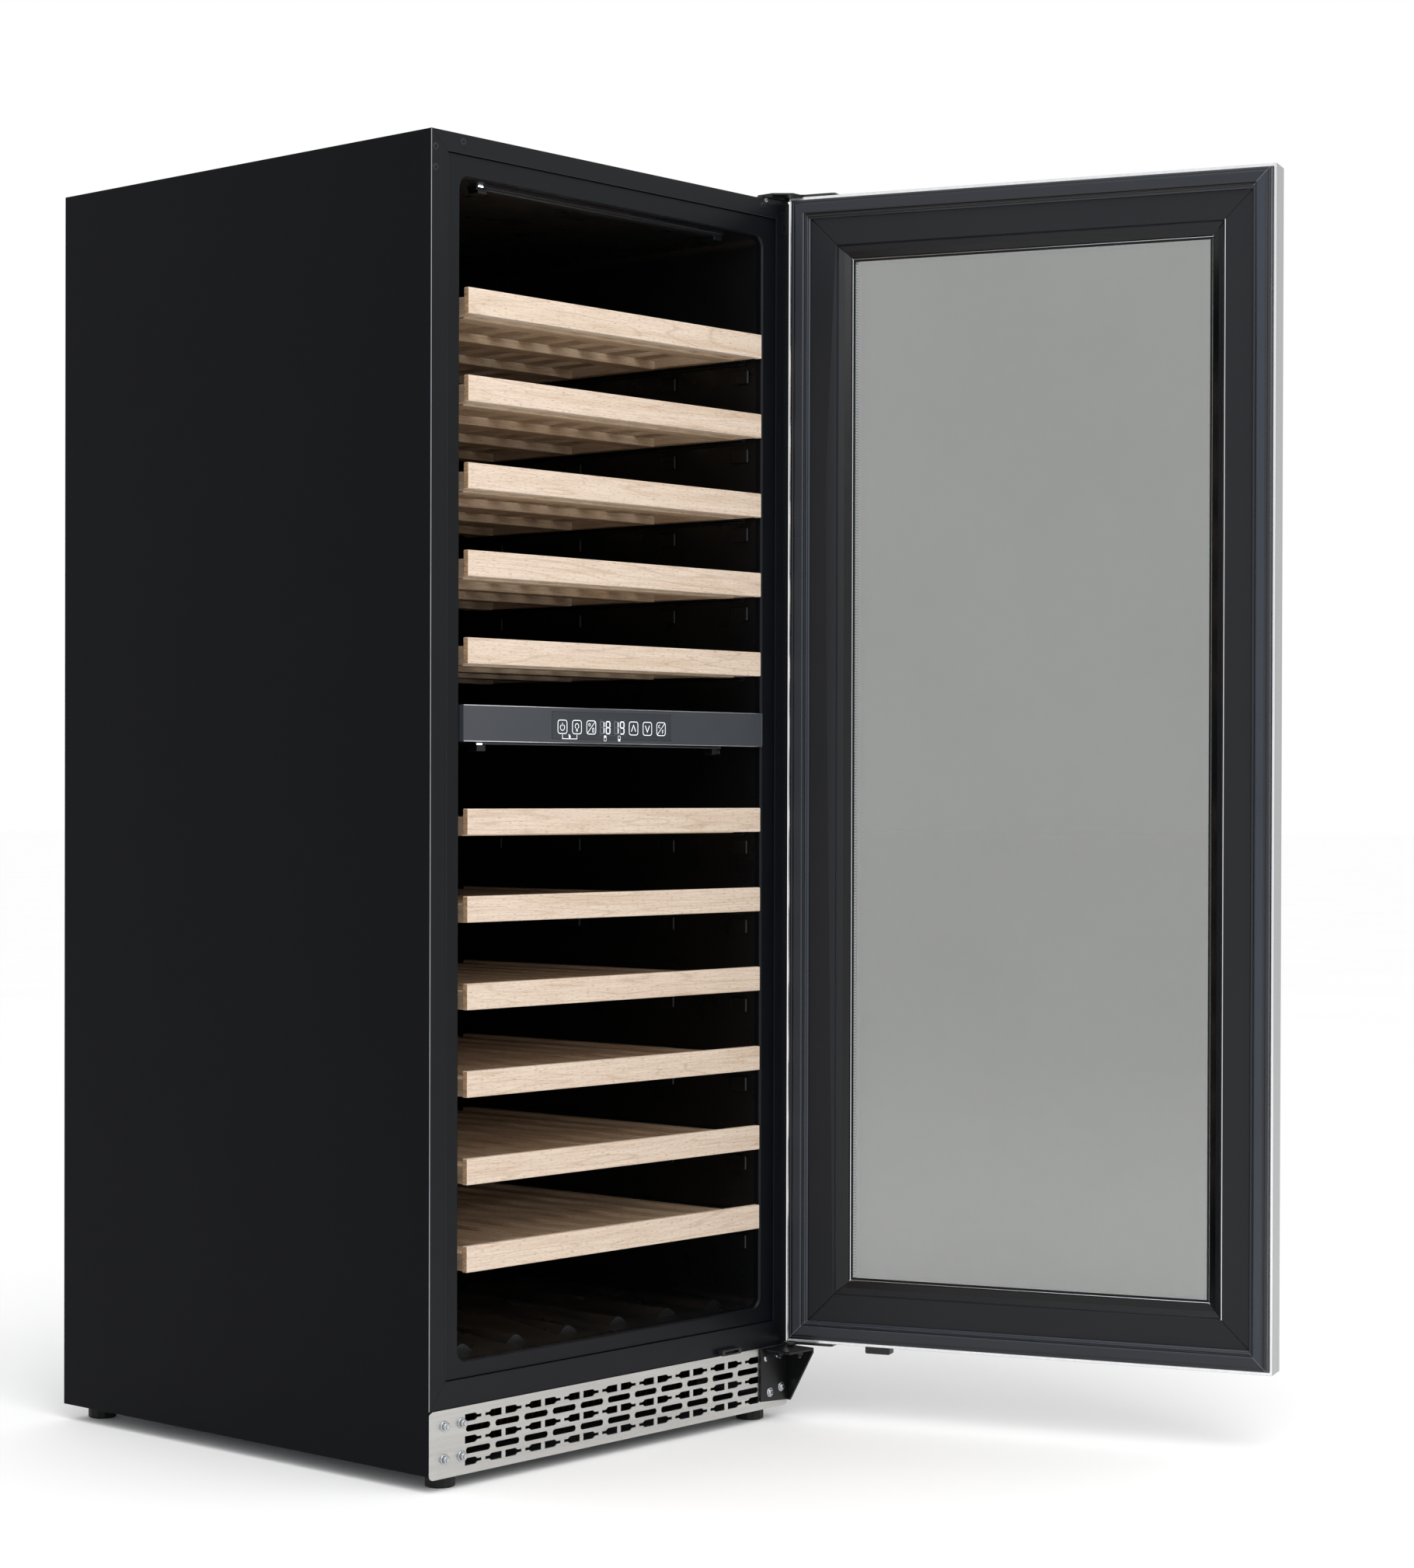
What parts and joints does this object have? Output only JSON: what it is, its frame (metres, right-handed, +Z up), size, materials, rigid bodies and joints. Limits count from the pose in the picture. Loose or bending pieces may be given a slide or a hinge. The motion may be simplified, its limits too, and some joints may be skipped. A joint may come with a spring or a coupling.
{
  "type": "wine cooler",
  "caption": "Tall free-standing two-zone wine cooler with a hinged glazed door, pull-out slatted beech shelves, a control strip between the zones and a perforated steel plinth.",
  "frame": {"origin": "on the floor, in the middle of the rectangle of the four feet", "axes": "+X to the right seen from the front, +Y to the back, +Z up"},
  "size_m": [0.848, 1.2098, 1.48],
  "materials": {
    "painted_steel": "matt black powder coat",
    "galvanised_steel": "zinc coated sheet",
    "foam": "rigid polyurethane foam",
    "liner_plastic": "fine grained black moulding",
    "frame_plastic": "smooth dark moulding",
    "panel_plastic": "dark grey gloss",
    "display_lens": "gloss lens with lit symbols",
    "light_diffuser": "white diffuser",
    "aluminium": "mill finish",
    "compressor_black": "gloss black enamel",
    "copper": "drawn copper tube with thin fins",
    "fan_plastic": "glass filled nylon",
    "stainless": "fine brushed stainless",
    "bracket_black": "satin black",
    "foot_rubber": "hard black rubber",
    "zinc_screws": "bright zinc",
    "rail_black": "black oxide sheet steel",
    "seal_rubber": "soft black PVC",
    "tinted_glass": "grey tinted low-e pane",
    "beech": "sanded untreated beech"
  },
  "bodies": {
    "cabinet": {"side_panel_left": "painted_steel", "side_panel_right": "painted_steel", "top_panel": "painted_steel", "back_panel": "painted_steel", "base_pan": "galvanised_steel", "insulation_foam": "foam", "inner_liner": "liner_plastic", "front_flange": "painted_steel", "step_frame": "frame_plastic", "zone_divider": "liner_plastic", "control_panel": "panel_plastic", "control_display": "display_lens", "led_strips": "light_diffuser", "duct_cover_upper": "liner_plastic", "duct_cover_lower": "liner_plastic", "evaporator_plates": "aluminium", "compressor": "compressor_black", "condenser_coil": "copper", "condenser_fan_bracket": "galvanised_steel", "kick_plate": "stainless", "hinge_brackets": "bracket_black", "flange_catch": "frame_plastic", "levelling_feet": "foot_rubber", "cabinet_screws": "zinc_screws", "power_inlet": "frame_plastic", "fixed_rails": "rail_black"},
    "door": {"door_frame": "stainless", "door_liner": "frame_plastic", "door_gasket": "seal_rubber", "door_glass_outer": "tinted_glass", "door_glass_inner": "tinted_glass", "glazing_spacer": "aluminium", "door_handle": "stainless", "door_hinge_plates": "bracket_black", "door_tab": "frame_plastic"},
    "shelf_01": {"shelf_01_rack": "beech", "shelf_01_runners": "rail_black"},
    "shelf_02": {"shelf_02_rack": "beech", "shelf_02_runners": "rail_black"},
    "shelf_03": {"shelf_03_rack": "beech", "shelf_03_runners": "rail_black"},
    "shelf_04": {"shelf_04_rack": "beech", "shelf_04_runners": "rail_black"},
    "shelf_05": {"shelf_05_rack": "beech", "shelf_05_runners": "rail_black"},
    "shelf_06": {"shelf_06_rack": "beech", "shelf_06_runners": "rail_black"},
    "shelf_07": {"shelf_07_rack": "beech", "shelf_07_runners": "rail_black"},
    "shelf_08": {"shelf_08_rack": "beech", "shelf_08_runners": "rail_black"},
    "shelf_09": {"shelf_09_rack": "beech", "shelf_09_runners": "rail_black"},
    "shelf_10": {"shelf_10_rack": "beech", "shelf_10_runners": "rail_black"},
    "shelf_11": {"shelf_11_rack": "beech", "shelf_11_runners": "rail_black"},
    "upper_fan": {"circulation_fan_upper": "fan_plastic"},
    "lower_fan": {"circulation_fan_lower": "fan_plastic"},
    "machine_fan": {"condenser_fan": "fan_plastic"}
  },
  "joints": [
    {"name": "door_hinge", "type": "hinge", "parent": "cabinet", "child": "door", "pos_m": [0.2931, -0.3283, 0.75], "axis": [0, 0, 1], "range_deg": [-108.6, 11.4]},
    {"name": "shelf_01_slide", "type": "slide", "parent": "cabinet", "child": "shelf_01", "axis": [0, -1, 0], "range_m": [0, 0.3]},
    {"name": "shelf_02_slide", "type": "slide", "parent": "cabinet", "child": "shelf_02", "axis": [0, -1, 0], "range_m": [0, 0.3]},
    {"name": "shelf_03_slide", "type": "slide", "parent": "cabinet", "child": "shelf_03", "axis": [0, -1, 0], "range_m": [0, 0.3]},
    {"name": "shelf_04_slide", "type": "slide", "parent": "cabinet", "child": "shelf_04", "axis": [0, -1, 0], "range_m": [0, 0.3]},
    {"name": "shelf_05_slide", "type": "slide", "parent": "cabinet", "child": "shelf_05", "axis": [0, -1, 0], "range_m": [0, 0.3]},
    {"name": "shelf_06_slide", "type": "slide", "parent": "cabinet", "child": "shelf_06", "axis": [0, -1, 0], "range_m": [0, 0.3]},
    {"name": "shelf_07_slide", "type": "slide", "parent": "cabinet", "child": "shelf_07", "axis": [0, -1, 0], "range_m": [0, 0.3]},
    {"name": "shelf_08_slide", "type": "slide", "parent": "cabinet", "child": "shelf_08", "axis": [0, -1, 0], "range_m": [0, 0.3]},
    {"name": "shelf_09_slide", "type": "slide", "parent": "cabinet", "child": "shelf_09", "axis": [0, -1, 0], "range_m": [0, 0.3]},
    {"name": "shelf_10_slide", "type": "slide", "parent": "cabinet", "child": "shelf_10", "axis": [0, -1, 0], "range_m": [0, 0.3]},
    {"name": "shelf_11_slide", "type": "slide", "parent": "cabinet", "child": "shelf_11", "axis": [0, -1, 0], "range_m": [0, 0.3]},
    {"name": "upper_fan_spin", "type": "hinge", "parent": "cabinet", "child": "upper_fan", "pos_m": [0, 0.231, 1.235], "axis": [0, 1, 0], "continuous": true},
    {"name": "lower_fan_spin", "type": "hinge", "parent": "cabinet", "child": "lower_fan", "pos_m": [0, 0.231, 0.56], "axis": [0, 1, 0], "continuous": true},
    {"name": "machine_fan_spin", "type": "hinge", "parent": "cabinet", "child": "machine_fan", "pos_m": [-0.1, -0.1885, 0.05], "axis": [0, 1, 0], "continuous": true}
  ]
}
